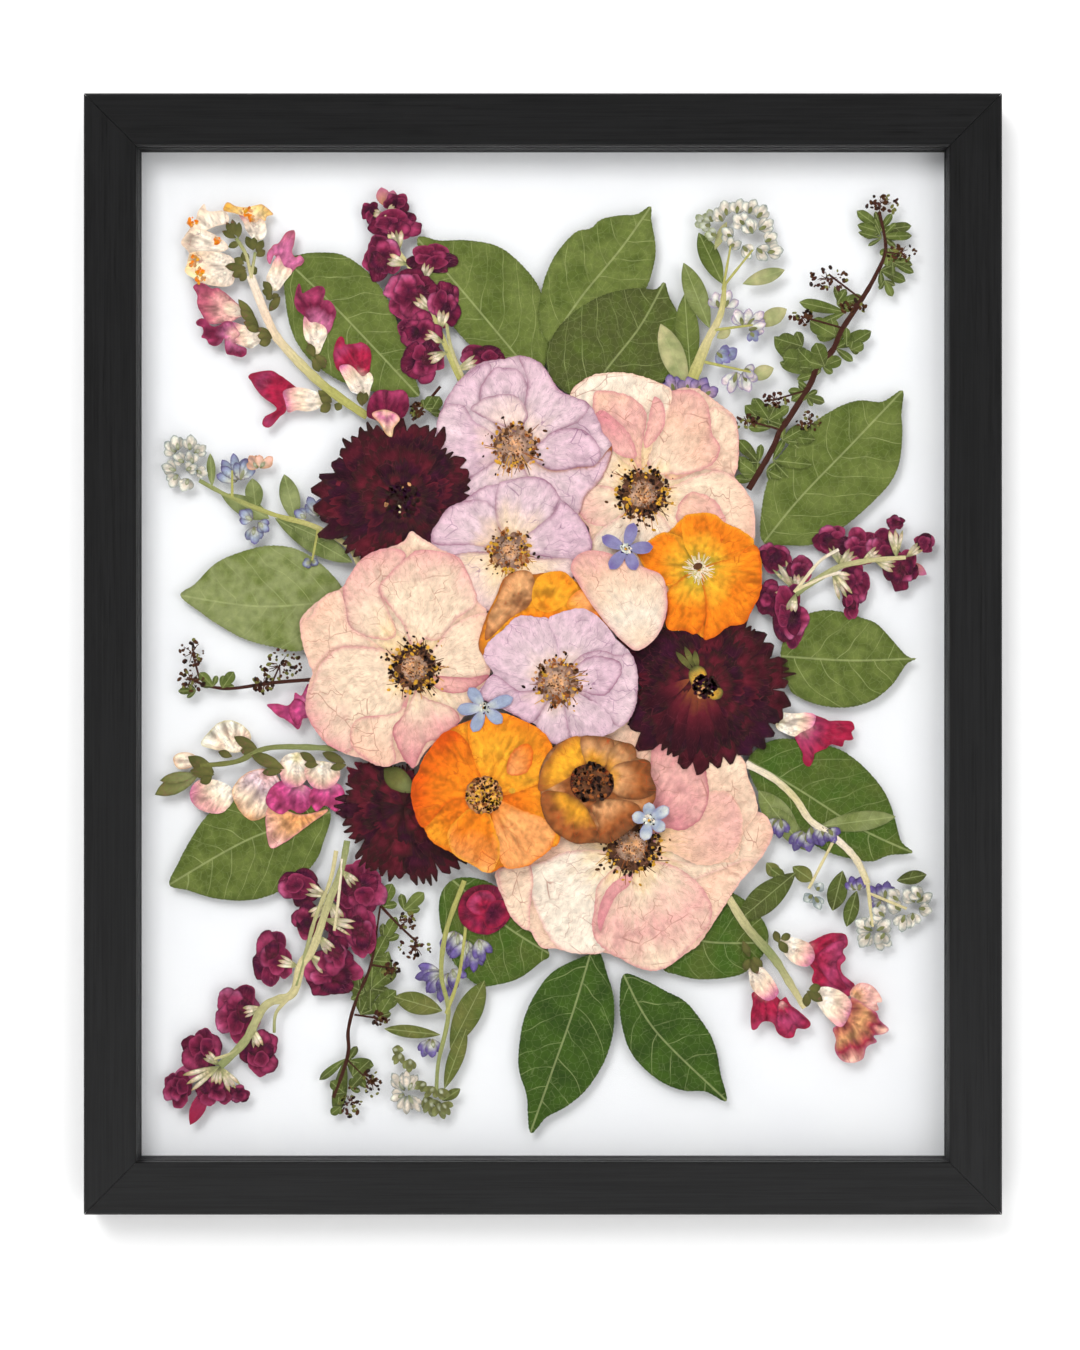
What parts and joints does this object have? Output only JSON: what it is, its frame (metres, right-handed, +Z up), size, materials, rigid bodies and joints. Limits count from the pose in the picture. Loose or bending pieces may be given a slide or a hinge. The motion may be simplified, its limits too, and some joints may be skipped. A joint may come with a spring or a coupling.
{
  "type": "pressed flower frame",
  "caption": "Black wooden wall frame holding dried pressed flowers, leaves and twigs between two panes of glass in front of a white board.",
  "frame": {"origin": "middle of the rear face, which lies against the wall", "axes": "+X to the right as seen from the front, +Y out of the back towards the wall, +Z up; the frame faces -Y"},
  "size_m": [0.452, 0.0285, 0.552],
  "materials": {
    "black_wood": "satin black stain over fine straight grain",
    "clear_glass": "clear float glass",
    "black_spacer": "matt black",
    "white_card": "smooth matt white card",
    "brown_fibreboard": "plain hard fibreboard",
    "zinc_steel": "zinc-plated sheet steel",
    "dried_leaf": "dry, matt, thin and veined",
    "peach_petals": "papery dried petals, cream to peach with pink edges",
    "lilac_petals": "papery dried petals, lilac with mauve creases",
    "orange_petals": "papery dried petals, orange to tan",
    "burgundy_petals": "matt, near-black burgundy",
    "maroon_florets": "crumpled dried florets",
    "crimson_florets": "crumpled dried florets",
    "pale_florets": "thin dried florets on green stems",
    "blue_florets": "thin dried five-petalled stars",
    "dried_twig": "dry brown twig with small leaves"
  },
  "bodies": {
    "root": {"back_panel": "brown_fibreboard", "blue_star_1": "blue_florets", "blue_star_2": "blue_florets", "blue_star_3": "blue_florets", "burgundy_bloom_1": "burgundy_petals", "burgundy_bloom_2": "burgundy_petals", "burgundy_bloom_3": "burgundy_petals", "front_glass": "clear_glass", "front_spacer": "black_spacer", "hanger": "zinc_steel", "leaf_1": "dried_leaf", "leaf_10": "dried_leaf", "leaf_11": "dried_leaf", "leaf_12": "dried_leaf", "leaf_13": "dried_leaf", "leaf_2": "dried_leaf", "leaf_3": "dried_leaf", "leaf_4": "dried_leaf", "leaf_5": "dried_leaf", "leaf_6": "dried_leaf", "leaf_7": "dried_leaf", "leaf_8": "dried_leaf", "leaf_9": "dried_leaf", "lilac_rose_1": "lilac_petals", "lilac_rose_2": "lilac_petals", "lilac_rose_3": "lilac_petals", "mount_board": "white_card", "orange_poppy_1": "orange_petals", "orange_poppy_2": "orange_petals", "orange_poppy_3": "orange_petals", "orange_poppy_4": "orange_petals", "peach_petal": "peach_petals", "peach_rose_1": "peach_petals", "peach_rose_2": "peach_petals", "peach_rose_3": "peach_petals", "rail_bottom": "black_wood", "rail_left": "black_wood", "rail_right": "black_wood", "rail_top": "black_wood", "rear_glass": "clear_glass", "rear_spacer": "black_spacer", "snapdragon_1": "crimson_florets", "snapdragon_2": "crimson_florets", "snapdragon_3": "crimson_florets", "snapdragon_4": "crimson_florets", "snapdragon_5": "crimson_florets", "snapdragon_6": "crimson_florets", "snapdragon_7": "crimson_florets", "stock_1": "maroon_florets", "stock_2": "maroon_florets", "stock_3": "maroon_florets", "twig_1": "dried_twig", "twig_2": "dried_twig", "twig_3": "dried_twig", "twig_4": "dried_twig", "white_sprig_1": "pale_florets", "white_sprig_2": "pale_florets", "white_sprig_3": "pale_florets", "white_sprig_4": "pale_florets"}
  },
  "joints": []
}
